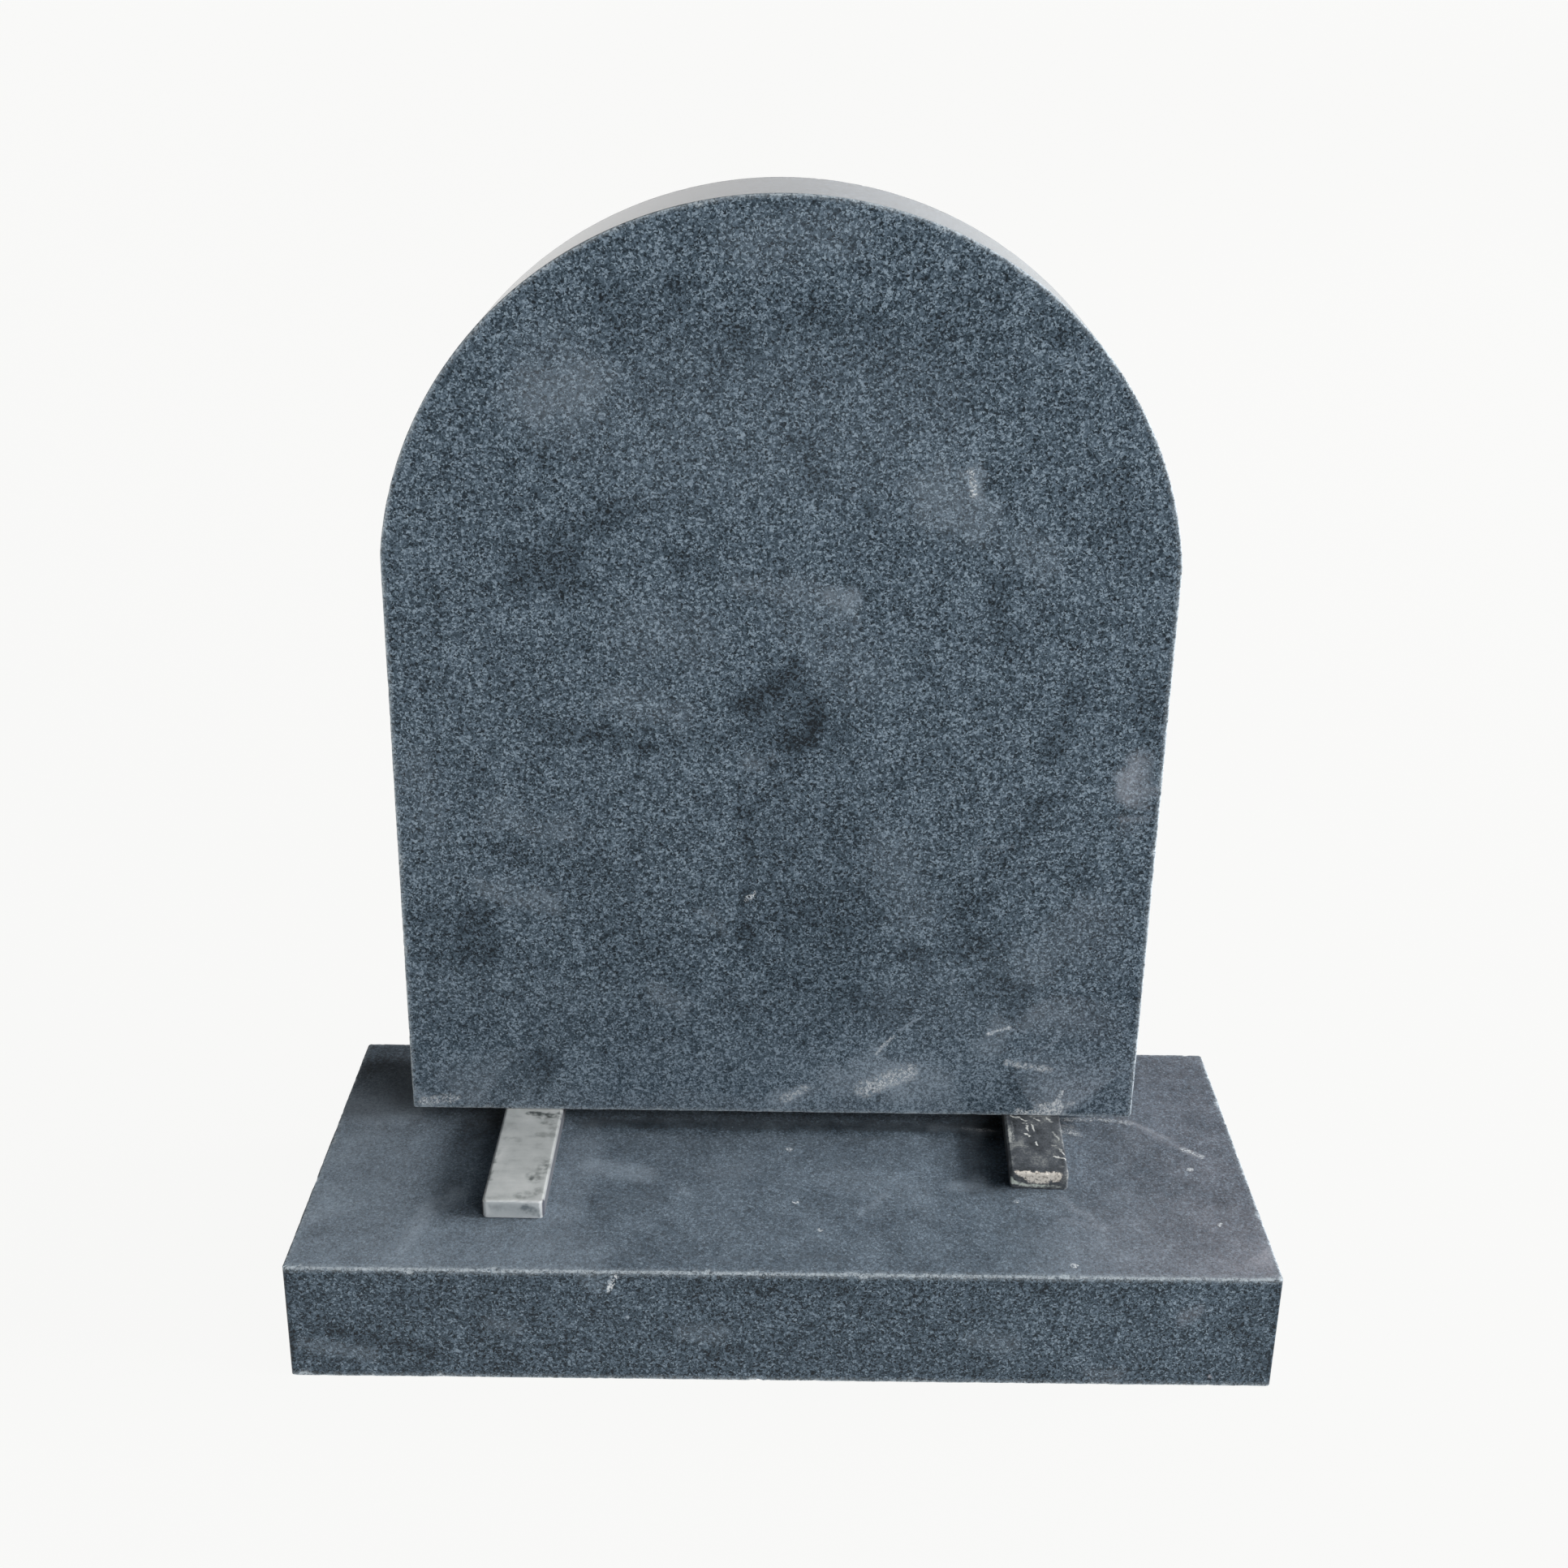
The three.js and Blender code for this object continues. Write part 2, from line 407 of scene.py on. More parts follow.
    # Sawn and honed faces are dull, dust makes them duller, and a finer ground edge shines.
    near_front = add(tree, "ShaderNodeMapRange", {"Value": axes[1], "From Min": smooth_between[0],
                                                  "From Max": smooth_between[0] + 2})[0]
    near_back = add(tree, "ShaderNodeMapRange", {"Value": axes[1], "From Min": smooth_between[1],
                                                 "From Max": smooth_between[1] - 2})[0]
    edge = add(tree, "ShaderNodeMath", {0: near_front, 1: near_back}, operation="MULTIPLY")[0]
    roughness = add(tree, "ShaderNodeMapRange", {"Value": film, "To Min": 0.42, "To Max": 0.6})[0]
    roughness = add(tree, "ShaderNodeMix", {0: edge, 2: roughness, 3: 0.12})[0]
    relief = add(tree, "ShaderNodeBump", {"Height": weave, "Strength": 0.12, "Distance": 0.0003})[0]
    shader = add(tree, "ShaderNodeBsdfPrincipled",
                 {"Base Color": colour, "Roughness": roughness, "IOR": 1.5,
                  "Specular IOR Level": 0.25, "Normal": relief})
    add(tree, "ShaderNodeOutputMaterial", {"Surface": shader[0]})
    return material


# Strokes on the base: two places in millimetres across, back and up, the reach, and the amount.
# Stains darken or lighten the stone, dust and film are a share of grey dust. Some stain and dust
# strokes are painted shadows and painted light instead, as marked below.
base_stains = [
    # Painted shade in front of the tablet's foot and painted shadows left of both bars; the fourth is
    # painted light.
    ((-170, 36, 102), (170, 36, 102), 10, -0.6),
    ((164, -40, 102), (170, 50, 102), 26, -0.40),
    ((-254, 6, 102), (-262, 50, 102), 24, -0.22),
    ((-252, -62, 102), (-246, -34, 102), 16, 0.26),
    ((-150, -72, 102), (-108, -62, 102), 20, -0.1),
    ((8, -133, 102), (45, -133, 102), 7, -0.2),
    ((-200, -120, 102), (-175, -112, 102), 12, -0.07),
    ((180, -100, 102), (215, -120, 102), 22, -0.05),
    ((200, -152, 55), (370, -152, 50), 60, 0.06),
    ((-160, -152, 50), (160, -152, 50), 50, 0.02),
    ((-345, -152, 45), (-270, -152, 24), 9, -0.16),
    ((-168, -152, 25), (-168, -152, 25), 8, -0.18),
    ((-70, -152, 90), (45, -152, 92), 9, -0.1),
    ((-30, -152, 30), (-55, -152, 26), 9, -0.14),
    ((60, -152, 28), (75, -152, 22), 12, -0.08),
    ((190, -152, 92), (260, -152, 78), 14, -0.06),
    ((340, -152, 60), (372, -152, 30), 16, -0.1),
    ((-381, -152, 0), (-381, -152, 102), 5, -0.3),
    ((381, -152, 0), (381, -152, 102), 5, -0.3),
    ((-376, -152, 0), (376, -152, 0), 6, -0.1),
]
base_dust = [
    ((-178, -80, 102), (-170, 0, 102), 26, 0.17),
    ((-260, 90, 102), (260, 90, 102), 62, -0.13),
    # Painted shade: less dust along the tablet's foot and left of the right bar.
    ((-150, 31, 102), (150, 31, 102), 14, -0.14),
    ((176, -30, 102), (182, 40, 102), 24, -0.21),
    ((-345, -150, 102), (-342, -20, 102), 95, 0.19),
    ((-260, -146, 102), (-190, -140, 102), 75, 0.19),
    # Painted light: more dust to lighten the tablet's shadow beside its left end.
    ((-365, 62, 102), (-330, 62, 102), 40, 0.50),
    ((270, -150, 102), (370, -150, 102), 125, 0.16),
    # Painted light: the next three lighten the front of the shadows left of both bars.
    ((-282, -84, 102), (-266, -62, 102), 16, 0.30),
    ((-256, -58, 102), (-250, -28, 102), 14, 0.10),
    ((140, -44, 102), (158, -38, 102), 12, 0.22),
    ((-158, -24, 102), (-115, -34, 102), 16, 0.26),
    ((-60, -30, 102), (-35, -26, 102), 16, 0.09),
    ((-80, -56, 102), (-80, -56, 102), 7, 0.19),
    ((-372, -100, 102), (-366, -60, 102), 14, 0.17),
    ((-342, -100, 102), (-328, -132, 102), 8, 0.14),
    ((-368, -20, 102), (-350, 20, 102), 20, 0.09),
    ((45, -35, 102), (110, -58, 102), 26, 0.07),
    ((60, -80, 102), (82, -56, 102), 5, 0.17),
    ((226, -60, 102), (256, -100, 102), 6, 0.17),
    ((218, -84, 102), (242, -92, 102), 5, 0.13),
    ((125, 36, 102), (182, 31, 102), 8, 0.17),
    ((290, 52, 102), (345, 2, 102), 7, 0.14),
    ((370, -142, 102), (378, -120, 102), 7, 0.26),
]
base_films = [
    ((-372, -152, 30), (-320, -152, 22), 10, 0.12),
    ((-225, -152, 52), (-205, -152, 48), 10, 0.10),
    ((-75, -152, 46), (-50, -152, 44), 13, 0.10),
    ((145, -152, 42), (175, -152, 38), 14, 0.09),
    ((318, -152, 70), (308, -152, 66), 9, 0.15),
    ((240, -152, 12), (262, -152, 10), 10, 0.10),
    ((-150, -152, 95), (-140, -152, 90), 12, 0.10),
]
base_scratches = [
    ((299, 47, 102), (330, 25, 102), 1.5, 0.15),
    ((-132, -152, 98), (-134, -152, 84), 1.6, 0.8),
    ((-119, -152, 60), (-121, -152, 60), 2.2, 0.7),
    ((333, -152, 9), (333, -152, 9), 2.5, 0.6),
]
base_powders = [
    ((236, 50, 102), (262, 50, 102), 4, 0.35),
    ((230, 40, 102), (244, 36, 102), 9, 0.22),
    ((266, 52, 102), (300, 46, 102), 4, 0.28),
    ((304, 42, 102), (326, 24, 102), 3.6, 0.12),
    ((336, 10, 102), (349, 0, 102), 4.2, 0.4),
    ((152, 35, 102), (178, 32, 102), 3, 0.2),
    ((238, 33, 102), (250, 28, 102), 4, 0.35),
    ((-128, -152, 98), (-134, -152, 84), 2.2, 0.9),
    ((3, 3, 102), (3, 3, 102), 3.2, 2.5),
    ((336, -18, 102), (336, -18, 102), 3.4, 2.5),
    ((346, -88, 102), (346, -88, 102), 3.0, 2.5),
    ((8, -67, 102), (8, -67, 102), 2.8, 2.5),
    ((27, -101, 102), (27, -101, 102), 2.8, 2.5),
    ((223, -139, 102), (223, -139, 102), 2.8, 2.5),
    ((187, -62, 102), (187, -62, 102), 2.6, 2.0),
]
soil(base, 4.0, stain=base_stains, dust=base_dust, film=base_films)
NO_SMOOTH_EDGE = (900, 901)
base.data.materials.append(
    granite("honed_granite_base", 0.86, 0.74, base_scratches, base_powders, base_size.z / MM,
            NO_SMOOTH_EDGE))
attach(base, "root")
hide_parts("base")


# Steel bars
# Two offcuts of flat bar that hold the tablet clear of the base, so that slings can be drawn out.
# The left one is bright bare steel, the right one is black coated and laid a little skew.

BAR_EDGE = 2.4 * MM
BAR_STEP = 1.2 * MM
BAR_ARRIS = 0.7 * MM


def end_wear(width, thickness, beside, above):
    """Wear that a bar's end has on top of its dulled edge, at its two sides and along its top."""
    def wear(walked, places, face):
        near_side = np.clip((np.abs(places[:, 0]) - width / 2) / (4 * MM) + 1, 0, 1)
        near_top = np.clip((places[:, 1] - thickness / 2) / (3 * MM) + 1, 0, 1)
        return beside * near_side**2 + above * near_top**2
    return wear


def laid_bar(name, node, width, skew, seed, beside, above):
    """A flat bar in the place of its node, with its front end cut square and its edges dulled."""
    low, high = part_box(node)
    lean = abs(math.sin(skew)) * width / 2
    middle = low.x + math.cos(skew) * width / 2
    length = (high.y - low.y - 2 * lean) / math.cos(skew)
    thickness = high.z - low.z
    corners = [(-width / 2, -thickness / 2), (width / 2, -thickness / 2),
               (width / 2, thickness / 2), (-width / 2, thickness / 2)]
    sides = [straight_side(corners[i], corners[(i + 1) % 4]) for i in range(4)]
    places, inwards = outline(sides, BAR_EDGE, BAR_STEP)
    bar = worn_slab(name, places, inwards, length, (BAR_ARRIS, BAR_ARRIS), seed,
                    extra=end_wear(width, thickness, beside, above), rows=24)
    stand = Matrix.Rotation(math.pi / 2, 4, "X")
    turn = Matrix.Rotation(skew, 4, "Z")
    centre = Vector((middle, low.y + lean, (low.z + high.z) / 2))
    bar.data.transform(Matrix.Translation(centre) @ turn @ Matrix.Translation((0, length, 0)) @ stand)
    return bar


def bar_places(tree, node, width, skew):
    """Millimetres in the bar's own directions: across, back from its front end, up from its middle."""
    low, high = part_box(node)
    lean = abs(math.sin(skew)) * width / 2
    centre = (low.x + math.cos(skew) * width / 2, low.y + lean, (low.z + high.z) / 2)
    place = add(tree, "ShaderNodeTexCoord")["Object"]
    return add(tree, "ShaderNodeMapping",
               {"Vector": place, "Location": centre, "Rotation": (0, 0, skew),
                "Scale": (MM, MM, MM)}, vector_type="TEXTURE")[0]


left_width, left_skew = 49 * MM, math.radians(-0.4)
left_bar = laid_bar("bare_steel_bar", "left_bar", left_width, left_skew, 41, 2.6 * MM, 0.2 * MM)

# Bare mill steel, hot rolled and sawn: light grey and a little cloudy, banded across its length,
# with dark grime rubbed into its long sides. The sawn end is bluer.
bare_steel = bpy.data.materials.new("bare_mill_steel")
bare_steel.use_nodes = True
tree = bare_steel.node_tree
tree.nodes.clear()
mm = bar_places(tree, "left_bar", left_width, left_skew)
axes = add(tree, "ShaderNodeSeparateXYZ", {0: mm})
cloud = add(tree, "ShaderNodeTexNoise", {"Vector": mm, "Scale": 1 / 22, "Detail": 4.0,
                                         "Roughness": 0.6})["Fac"]
crosswise = add(tree, "ShaderNodeVectorMath", {0: mm, 1: (0.25, 1.0, 1.0)}, operation="MULTIPLY")[0]
bands = add(tree, "ShaderNodeTexNoise", {"Vector": crosswise, "Scale": 1 / 7, "Detail": 3.0})["Fac"]
tone = add(tree, "ShaderNodeMath", {0: bands, 1: 0.5, 2: cloud}, operation="MULTIPLY_ADD")[0]
tone = add(tree, "ShaderNodeMapRange", {"Value": tone, "From Min": 0.0, "From Max": 1.24})[0]
frayed = fray(tree, mm, size=7, detail=2.0, push=6.0)
grit = add(tree, "ShaderNodeTexNoise", {"Vector": mm, "Scale": 1 / 5, "Detail": 2.0})["Fac"]
torn = add(tree, "ShaderNodeMapRange", {"Value": grit, "From Min": 0.26, "From Max": 0.6,
                                        "To Max": 1.1})[0]
grime_and_painted_light = smears(tree, 0.0, frayed, [
    # The first two darken the top in a strip in front of the tablet: grime and painted shade.
    ((-5, 117, 8), (6, 117, 8), 4.0, -0.6),
    ((4, 114, 8), (23, 114.5, 8), 6.5, -0.6),
    ((9, 109, 8), (20, 97, 8), 7.0, -0.28),
    ((10, 88, 8), (21, 87, 8), 6.0, -0.24),
    ((-16, 80, 8), (-7, 80, 8), 6.0, -0.17),
    ((-21, 68, 8), (-22, 50, 8), 3.0, -0.35),
    ((-23, 36, 8), (-22, 27, 8), 3.0, -0.35),
    ((21, 50, 8), (14, 27, 8), 8.0, -0.33),
    ((8, 34, 8), (10, 30, 8), 5.0, -0.24),
    ((4, 7, 8), (20, 13, 8), 7.0, -0.26),
    ((10, 0, 4), (20, 0, -3), 6.0, -0.42),
    ((-13, 0, 1), (10, 0, 1), 7.0, -0.2),
    ((-21, 0, 2), (-19, 0, -3), 4.5, 0.25),
    # Painted highlight: a thin bright line along the foot of the sawn end.
    ((-20, 0, -7.6), (21, 0, -7.6), 1.3, 0.5),
])
tone = add(tree, "ShaderNodeMath", {0: grime_and_painted_light, 1: torn, 2: tone}, operation="MULTIPLY_ADD")[0]

# The rolled flanks keep their dull scale, while the arrises beside the top are rubbed bright.
half_bar = left_width / MM / 2
outwards = add(tree, "ShaderNodeMath", {0: axes[0]}, operation="ABSOLUTE")[0]
flank = add(tree, "ShaderNodeMapRange", {"Value": outwards, "From Min": half_bar - 1.8,
                                         "From Max": half_bar - 0.6})[0]
above = add(tree, "ShaderNodeMapRange", {"Value": axes[2], "From Min": 5.2, "From Max": 6.6})[0]
foot = add(tree, "ShaderNodeMapRange", {"Value": axes[2], "From Min": -5.6, "From Max": -6.8})[0]
rubbed = add(tree, "ShaderNodeMath", {0: above, 1: foot}, operation="MAXIMUM")[0]
worn = add(tree, "ShaderNodeAttribute", attribute_name="arris")["Fac"]
tone = add(tree, "ShaderNodeMath", {0: worn, 1: 0.35, 2: tone}, operation="MULTIPLY_ADD")[0]
colour = add(tree, "ShaderNodeValToRGB", {"Fac": tone},
             stops=[(0.0, "#5f6463"), (0.3, "#a9adab"), (0.55, "#d3d6d4"), (1.0, "#f4f5f3")])["Color"]
cut = add(tree, "ShaderNodeMapRange", {"Value": axes[1], "From Min": 1.4, "From Max": 0.3,
                                       "To Max": 0.3})[0]
colour = add(tree, "ShaderNodeMix", {0: cut, 6: colour, 7: linear("#bccad6")}, data_type="RGBA")[2]
scale = add(tree, "ShaderNodeMapRange", {"Value": rubbed, "To Min": 0.92, "To Max": 0.55})[0]
scale = add(tree, "ShaderNodeMath", {0: flank, 1: scale}, operation="MULTIPLY")[0]
scale = smears(tree, scale, mm, [((24, 1.5, 6.5), (24, 1.5, -7), 4.0, 0.5)])
colour = add(tree, "ShaderNodeMix", {0: scale, 6: colour, 7: linear("#54565e")},
             data_type="RGBA")[2]
shader = add(tree, "ShaderNodeBsdfPrincipled", {"Base Color": colour, "Metallic": 0.2,
                                                "Roughness": 0.45})
add(tree, "ShaderNodeOutputMaterial", {"Surface": shader[0]})
left_bar.data.materials.append(bare_steel)
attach(left_bar, "root")
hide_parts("left_bar")

right_width, right_skew = 47.5 * MM, math.radians(-2.2)
right_bar = laid_bar("black_steel_bar", "right_bar", right_width, right_skew, 51, 1.0 * MM, 1.4 * MM)

# Steel with a thin black coat, brushed on: dull dark grey and speckled, flecked white where it is
# chipped, and worn through to pale bare metal in a torn band across its front end.
black_steel = bpy.data.materials.new("black_coated_steel")
black_steel.use_nodes = True
tree = black_steel.node_tree
tree.nodes.clear()
mm = bar_places(tree, "right_bar", right_width, right_skew)
cloud = add(tree, "ShaderNodeTexNoise", {"Vector": mm, "Scale": 1 / 14, "Detail": 6.0,
                                         "Roughness": 0.6})["Fac"]
speckle = add(tree, "ShaderNodeTexNoise", {"Vector": mm, "Scale": 1 / 1.6, "Detail": 2.0})["Fac"]
tone = add(tree, "ShaderNodeMath", {0: speckle, 1: 0.5, 2: cloud}, operation="MULTIPLY_ADD")[0]
tone = add(tree, "ShaderNodeMapRange", {"Value": tone, "From Min": 0.5, "From Max": 1.0,
                                        "To Min": 0.0, "To Max": 0.58})[0]
frayed = fray(tree, mm, size=3, detail=3.0, push=5.0)
tone = smears(tree, tone, frayed, [
    ((-12.7, 75.6, 8), (-6.3, 70.2, 8), 1.4, 0.9),
    ((-5.4, 63.4, 8), (-5.3, 56.5, 8), 1.3, 0.8),
    ((-1.2, 64.8, 8), (0.2, 56.8, 8), 1.5, 0.9),
    ((-7.7, 51.8, 8), (-4.6, 48.6, 8), 1.3, 0.8),
    ((0.4, 40, 8), (0.8, 37, 8), 1.6, 1.0),
    ((-18, 77, 8), (-14, 74, 8), 1.6, 0.7),
    ((-9, 67, 8), (-6, 66, 8), 1.3, 0.7),
    ((2, 74, 8), (6, 71, 8), 1.3, 0.6),
    ((12, 76, 8), (16, 70, 8), 1.6, 0.5),
    ((16, 55, 8), (20, 46, 8), 1.5, 0.4),
    ((-20, 62, 8), (-21, 40, 8), 2.2, 0.3),
    ((-18, 34.5, 8), (-5.7, 35, 8), 0.9, 0.2),
    ((12.7, 37.3, 8), (18, 36.5, 8), 1.1, 0.3),
    ((19.6, 32.2, 8), (22.3, 25.8, 8), 1.5, 0.6),
    ((13.3, 22, 8), (23, 19.3, 8), 1.5, 0.65),
    ((18.7, 9.3, 8), (18.7, 9.3, 8), 3.0, 0.2),
    ((-17.4, 68.4, 8), (-18.4, 36.6, 8), 0.8, 0.35),
    ((-23, 74, 8), (-23, 10, 8), 5.0, 0.12),
    ((0, 79, 8), (14, 82, 8), 6.0, 0.3),
])
colour = add(tree, "ShaderNodeValToRGB", {"Fac": tone},
             stops=[(0.0, "#2a2c2d"), (0.35, "#595d62"), (0.6, "#8f9291"), (1.0, "#d8dad6")])["Color"]
bare = smears(tree, 0.0, frayed, [
    ((-18, 0, 5.6), (16, 0, 5.2), 3.2, 1.8),
    ((-10, 0, 2.8), (15, 0, 2.4), 3.4, 1.3),
    ((-7, 0, -0.2), (6, 0, -1.0), 3.0, 0.9),
    ((13, 0, 1.0), (16, 0, 1.6), 2.6, 0.8),
    ((-22, 0, 6.5), (-18, 0, 1.5), 2.4, -1.6),
    ((23, 0, 6), (23, 0, -6), 3.2, -1.5),
])
paint = smears(tree, 0.0, frayed, [
    ((-23, 0, 2.5), (-21, 0, -2), 2.0, 1.0),
    ((-21, 0, -2), (-12, 0, -4.6), 2.4, 1.2),
    ((-12, 0, -4.6), (4, 0, -5.2), 1.8, 0.9),
    ((4, 0, -4.4), (18, 0, -5.4), 1.4, 0.5),
])
grit = add(tree, "ShaderNodeTexNoise", {"Vector": mm, "Scale": 1 / 2.4, "Detail": 3.0})["Fac"]
torn = add(tree, "ShaderNodeMapRange", {"Value": grit, "From Min": 0.34, "From Max": 0.6,
                                        "To Min": 0.25, "To Max": 1.4})[0]
bare = add(tree, "ShaderNodeMath", {0: bare, 1: torn}, operation="MULTIPLY", use_clamp=True)[0]
metal = add(tree, "ShaderNodeMix", {0: torn, 6: linear("#8f8274"), 7: linear("#e9e3da")},
            data_type="RGBA")[2]
paint = add(tree, "ShaderNodeMath", {0: paint, 1: torn}, operation="MULTIPLY", use_clamp=True)[0]
colour = add(tree, "ShaderNodeMix", {0: paint, 6: colour, 7: linear("#c9d1c9")},
             data_type="RGBA")[2]
colour = add(tree, "ShaderNodeMix", {0: bare, 6: colour, 7: metal}, data_type="RGBA")[2]
shader = add(tree, "ShaderNodeBsdfPrincipled", {"Base Color": colour, "Roughness": 0.45,
                                                "IOR": 1.5})
add(tree, "ShaderNodeOutputMaterial", {"Surface": shader[0]})
right_bar.data.materials.append(black_steel)
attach(right_bar, "root")
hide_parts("right_bar")


# Tablet
# The upright stone, sawn from the same granite: straight sides to the shoulders, then one arc.

tablet_low, tablet_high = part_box("tablet")
SHOULDER = 492 * MM
TABLET_ARRIS = 0.9 * MM
tablet_size = tablet_high - tablet_low
arch_rise = tablet_size.z - SHOULDER
half = tablet_size.x / 2
arch_radius = (half**2 + arch_rise**2) / (2 * arch_rise)
arch_centre = tablet_size.z - arch_radius
shoulder_angle = math.asin((SHOULDER - arch_centre) / arch_radius)


def arch_side(share):
    """Place and inward direction at a share of the arch, from the right shoulder to the left."""
    angle = shoulder_angle + share * (math.pi - 2 * shoulder_angle)
    outward = np.stack([np.cos(angle), np.sin(angle)], axis=1)
    return outward * arch_radius + [0, arch_centre], -outward


tablet_sides = [
    straight_side((-half, 0), (half, 0)),
    straight_side((half, 0), (half, SHOULDER)),
    arch_side,
    straight_side((-half, SHOULDER), (-half, 0)),
]
tablet_places, tablet_inwards = outline(tablet_sides, BASE_CORNER, STONE_STEP)
tablet = worn_slab("tablet_stone", tablet_places, tablet_inwards, tablet_size.y,
                   (TABLET_ARRIS, TABLET_ARRIS), 7, cap=DIRT_STEP)
tablet.data.transform(
    Matrix.Translation(((tablet_low.x + tablet_high.x) / 2, tablet_high.y, tablet_low.z))
    @ Matrix.Rotation(math.pi / 2, 4, "X"))


def on_face(strokes):
    """Puts strokes on the front face, from millimetres right of its middle and up from its foot."""
    middle = (tablet_low.x + tablet_high.x) / 2 / MM
    front, foot = tablet_low.y / MM, tablet_low.z / MM
    return [((u0 + middle, front, z0 + foot), (u1 + middle, front, z1 + foot), reach, amount)
            for (u0, z0), (u1, z1), reach, amount in strokes]


tablet_stains = on_face([
    ((-290, 22), (290, 22), 64, 0.12),
    ((40, 34), (250, 44), 56, 0.08),
    ((-26, 380), (-8, 380), 17, -0.30),
    ((-4, 396), (10, 400), 14, -0.28),
    ((28, 372), (26, 350), 16, -0.27),
    ((20, 345), (6, 338), 14, -0.30),
    ((0, 370), (10, 360), 52, -0.13),
    ((-190, 358), (-150, 342), 15, -0.14),
    ((-150, 342), (-100, 338), 13, -0.15),
    ((-100, 338), (-50, 348), 12, -0.09),
    ((-153, 432), (-152, 418), 9, -0.17),
    ((-192, 486), (-166, 482), 30, -0.18),
    ((-172, 505), (-120, 532), 22, -0.12),
    ((-120, 532), (-84, 542), 14, -0.08),
    ((-86, 496), (-78, 488), 11, -0.20),
    ((-52, 482), (-48, 476), 8, -0.17),
    ((-196, 582), (-178, 562), 9, -0.18),
    ((-135, 692), (-128, 668), 14, -0.12),
    ((-84, 694), (-78, 676), 14, -0.11),
    ((-36, 664), (-26, 654), 14, -0.17),
    ((14, 690), (24, 680), 13, -0.11),
    ((62, 680), (66, 670), 12, -0.09),
    ((108, 678), (112, 668), 11, -0.14),
    ((-100, 655), (120, 650), 60, -0.05),
    ((198, 668), (200, 666), 10, -0.41),
    ((65, 538), (67, 534), 11, -0.30),
    ((153, 562), (157, 556), 9, -0.19),
    ((12, 590), (18, 556), 14, -0.12),
    ((166, 476), (166, 466), 14, -0.17),
    ((168, 448), (184, 420), 18, -0.08),
    ((232, 392), (214, 330), 11, -0.19),
    ((210, 292), (198, 272), 10, -0.17),
    ((192, 262), (178, 232), 9, -0.14),
    ((172, 210), (152, 190), 12, -0.22),
    ((286, 396), (292, 350), 20, -0.12),
    ((108, 160), (120, 150), 12, -0.19),
    ((140, 170), (176, 158), 20, -0.11),
    ((176, 128), (204, 114), 22, -0.15),
    ((30, 270), (40, 140), 70, -0.07),
    ((-26, 311), (-26, 200), 6, -0.26),
    ((-28, 190), (-24, 160), 12, -0.24),
    ((4, 182), (10, 168), 13, -0.14),
    ((30, 190), (76, 184), 16, -0.11),
    ((-80, 136), (-66, 128), 12, -0.17),
    ((-150, 215), (-120, 150), 40, -0.07),
    ((-242, 182), (-232, 150), 14, -0.22),
    ((-286, 212), (-282, 200), 12, -0.20),
    ((-290, 175), (-280, 165), 15, -0.19),
    ((-216, 244), (-184, 226), 12, -0.15),
    ((-256, 52), (-196, 44), 22, -0.34),
    ((-246, 58), (-230, 52), 12, -0.11),
    ((-147, 62), (-143, 56), 9, -0.18),
    ((-128, 48), (-124, 44), 9, -0.14),
    ((198, 43), (228, 34), 9, -0.6),
    ((176, 6), (206, 8), 13, -0.09),
    ((-236, 314), (-230, 308), 9, -0.14),
    ((-130, 24), (-126, 18), 9, -0.12),
    ((60, 112), (100, 104), 24, -0.08),
    ((246, 560), (262, 500), 24, -0.07),
])
tablet_films = on_face([
    ((-290, 24), (290, 24), 60, 0.05),
    ((-186, 616), (-150, 628), 32, 0.12),
    ((-170, 640), (-165, 610), 50, 0.06),
    ((141, 564), (144, 546), 10, 0.22),
    ((112, 548), (144, 528), 30, 0.14),
    ((44, 462), (58, 450), 14, 0.19),
    ((-34, 474), (50, 466), 14, 0.10),
    ((20, 440), (60, 400), 40, 0.04),
    ((281, 322), (286, 276), 18, 0.38),
    ((-22, 328), (-12, 326), 11, 0.14),
    ((-236, 208), (-184, 198), 14, 0.14),
    ((-56, 190), (-46, 178), 10, 0.13),
    ((-130, 378), (-76, 366), 18, 0.07),
    ((-110, 432), (-70, 430), 40, 0.05),
    ((-102, 118), (-76, 102), 13, 0.12),
    ((56, 32), (136, 34), 24, 0.24),
    ((84, 56), (108, 22), 14, 0.17),
    ((8, 14), (26, 22), 14, 0.24),
    ((176, 62), (190, 86), 14, 0.19),
    ((212, 92), (226, 106), 14, 0.17),
    ((232, 8), (256, 26), 18, 0.16),
    ((222, 2), (242, 6), 13, 0.28),
    ((-90, 600), (80, 600), 95, 0.035),
    ((120, 110), (200, 120), 70, 0.04),
    ((-292, 12), (-264, 12), 16, 0.26),
    ((-236, 16), (-196, 14), 11, 0.14),
    ((-300, 6), (150, 6), 16, 0.10),
    ((90, 250), (112, 190), 34, 0.06),
    ((214, 150), (254, 190), 34, 0.07),
    ((-226, 276), (-170, 258), 20, 0.07),
    ((-290, 320), (-280, 250), 22, 0.06),
    ((180, 510), (200, 490), 20, 0.07),
    ((-30, 735), (40, 738), 30, 0.06),
    ((-280, 100), (280, 60), 60, 0.03),
])
tablet_scratches = on_face([
    ((86, 60), (98, 73), 1.8, 0.4),
    ((104, 81), (118, 93), 1.8, 0.4),
    ((178, 80), (196, 86), 1.8, 0.5),
    ((196, 86), (210, 82), 1.6, 0.25),
    ((158, 253), (191, 255), 1.5, 0.2),
    ((146, 118), (147, 141), 1.4, 0.2),
    ((94, 26), (121, 41), 2.5, 0.3),
    ((214, 60), (238, 74), 1.6, 0.25),
])
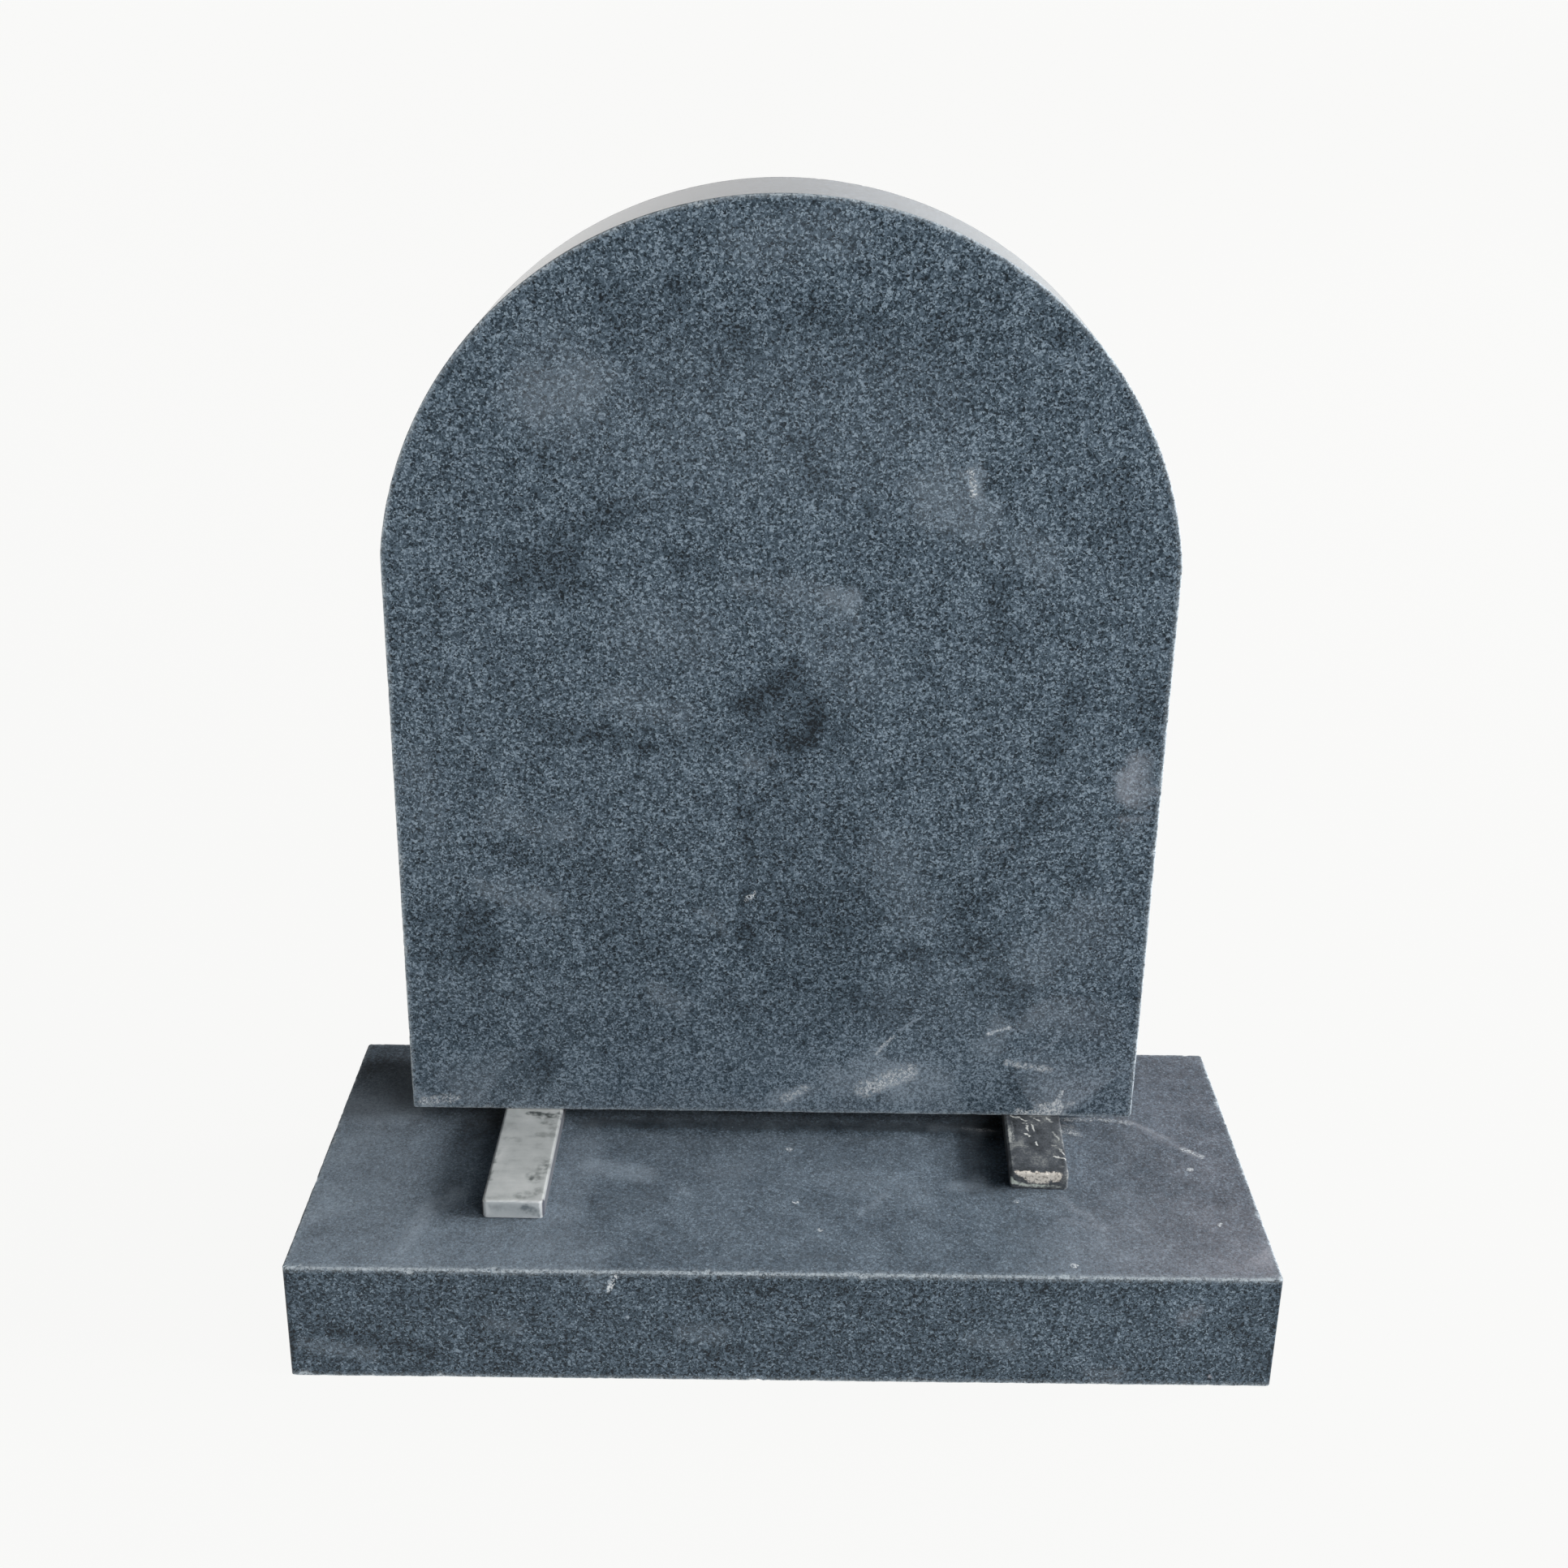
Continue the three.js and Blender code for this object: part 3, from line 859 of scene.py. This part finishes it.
tablet_powders = on_face([
    ((-297, 6), (-270, 10), 6, 0.4),
    ((140, 566), (143, 548), 3.5, 0.4),
    ((-24, 203), (-18, 209), 3.0, 0.4),
    ((10, 14), (26, 24), 6, 0.3),
    ((196, 52), (232, 46), 4, 0.3),
    ((217, 1), (242, 4), 5, 2.2),
    ((226, 8), (243, 11), 5, 0.9),
    ((241, 14), (244, 24), 2.6, 0.6),
    ((243, 8), (254, 13), 3, 0.4),
    ((208, 4), (216, 3), 4, 0.4),
    ((76, 24), (114, 42), 11, 0.42),
    ((178, 80), (196, 86), 2.4, 0.4),
    ((86, 60), (100, 76), 2.6, 0.3),
])
soil(tablet, 11.0, stain=tablet_stains, film=tablet_films)
NO_SETTLED_DUST = 2000.0
tablet.data.materials.append(
    granite("honed_granite_tablet", 0.79, 0.69, tablet_scratches, tablet_powders, NO_SETTLED_DUST,
            (tablet_low.y / MM + 1, tablet_high.y / MM - 1)))
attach(tablet, "root")
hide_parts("tablet")


# Studio
# A pale floor, soft light, and the camera at the height and angle of the photograph.

# The camera as fitted to the corners of the stones: pixels of the picture, metres and radians.
IMAGE = 1932
FOCAL = 2268.95
AXIS_X, AXIS_Y = 995.29, 765.46
CAMERA_PLACE = Vector((-10.12, -1299.54, 1045.08)) * MM
YAW, PITCH, ROLL = 0.01458, 0.34737, -0.02213

floor_mesh = bpy.data.meshes.new("floor")
FLOOR_REACH = 200.0
floor_corners = [(x * FLOOR_REACH, y * FLOOR_REACH, 0) for x, y in ((-1, -1), (1, -1), (1, 1), (-1, 1))]
floor_mesh.from_pydata(floor_corners, [], [(0, 1, 2, 3)])
floor = bpy.data.objects.new("floor", floor_mesh)
bpy.context.scene.collection.objects.link(floor)
pale = bpy.data.materials.new("pale_floor")
pale.use_nodes = True
paint = pale.node_tree.nodes["Principled BSDF"]
paint.inputs["Base Color"].default_value = (0.02, 0.02, 0.02, 1)
paint.inputs["Roughness"].default_value = 0.9
paint.inputs["Emission Color"].default_value = (1.0, 1.0, 0.99, 1)
paint.inputs["Emission Strength"].default_value = 0.925
pale.cycles.emission_sampling = "NONE"
floor_mesh.materials.append(pale)

# The light falls from a pale horizon, brightest behind the stone, under a dim ceiling. Seen directly,
# the backdrop is as pale as the floor all round.
world = bpy.data.worlds.new("soft_light")
bpy.context.scene.world = world
world.use_nodes = True
sky = world.node_tree
sky.nodes.clear()
way = add(sky, "ShaderNodeSeparateXYZ", {0: add(sky, "ShaderNodeTexCoord")["Generated"]})
horizon = add(sky, "ShaderNodeMapRange", {"Value": way[2], "From Min": 0.13, "From Max": 0.05},
              interpolation_type="SMOOTHSTEP")[0]
glow = add(sky, "ShaderNodeMapRange", {"Value": way[2], "From Min": 0.36, "From Max": 0.10},
           interpolation_type="SMOOTHSTEP")[0]
behind = add(sky, "ShaderNodeMapRange", {"Value": way[1], "From Min": 0.1, "From Max": 0.8},
             interpolation_type="SMOOTHSTEP")[0]
glow = add(sky, "ShaderNodeMath", {0: glow, 1: behind}, operation="MULTIPLY")[0]
horizon = add(sky, "ShaderNodeMath", {0: glow, 1: horizon}, operation="MAXIMUM")[0]
ceiling = add(sky, "ShaderNodeMapRange", {"Value": way[0], "From Min": -0.8, "From Max": 0.8,
                                          "To Min": 0.02, "To Max": 0.11})[0]
strength = add(sky, "ShaderNodeMix", {0: horizon, 2: ceiling, 3: 0.95})[0]
looked_at = add(sky, "ShaderNodeLightPath")["Is Camera Ray"]
strength = add(sky, "ShaderNodeMix", {0: looked_at, 2: strength, 3: 0.95})[0]
light = add(sky, "ShaderNodeBackground", {"Color": (1, 1, 1, 1), "Strength": strength})
add(sky, "ShaderNodeOutputWorld", {"Surface": light[0]})

# Lights: degrees round from +X and up, metres away, their width and height in metres, and watts.
for name, turn, rise, away, wide, high, power in (
    ("window", -1, 18, 9.0, 5.0, 1.6, 1600),
    ("softbox", -46, 27, 6.4, 4.0, 3.0, 170),
):
    turn, rise = math.radians(turn), math.radians(rise)
    towards = Vector((math.cos(turn) * math.cos(rise), math.sin(turn) * math.cos(rise),
                      math.sin(rise)))
    lamp_data = bpy.data.lights.new(name, "AREA")
    lamp_data.shape = "RECTANGLE"
    lamp_data.size = wide
    lamp_data.size_y = high
    lamp_data.energy = power
    lamp = bpy.data.objects.new(name, lamp_data)
    lamp.visible_glossy = False
    lamp.matrix_world = Matrix.Translation(towards * away + Vector((0, 0, 0.1))) @ (
        towards.to_track_quat("Z", "Y").to_matrix().to_4x4())
    bpy.context.scene.collection.objects.link(lamp)

forward = Vector((math.sin(YAW) * math.cos(PITCH), math.cos(YAW) * math.cos(PITCH), -math.sin(PITCH)))
level = Vector((math.cos(YAW), -math.sin(YAW), 0))
below = forward.cross(level)
right = math.cos(ROLL) * level + math.sin(ROLL) * below
down = math.cos(ROLL) * below - math.sin(ROLL) * level
camera_data = bpy.data.cameras.new("camera")
camera_data.sensor_width = 36.0
camera_data.lens = camera_data.sensor_width * FOCAL / IMAGE
camera_data.shift_x = (IMAGE / 2 - AXIS_X) / IMAGE
camera_data.shift_y = (AXIS_Y - IMAGE / 2) / IMAGE
camera = bpy.data.objects.new("camera", camera_data)
camera.matrix_world = Matrix.Translation(CAMERA_PLACE) @ Matrix(
    (right, -down, -forward)).transposed().to_4x4()
bpy.context.scene.collection.objects.link(camera)
bpy.context.scene.camera = camera
bpy.context.scene.view_settings.view_transform = "Standard"
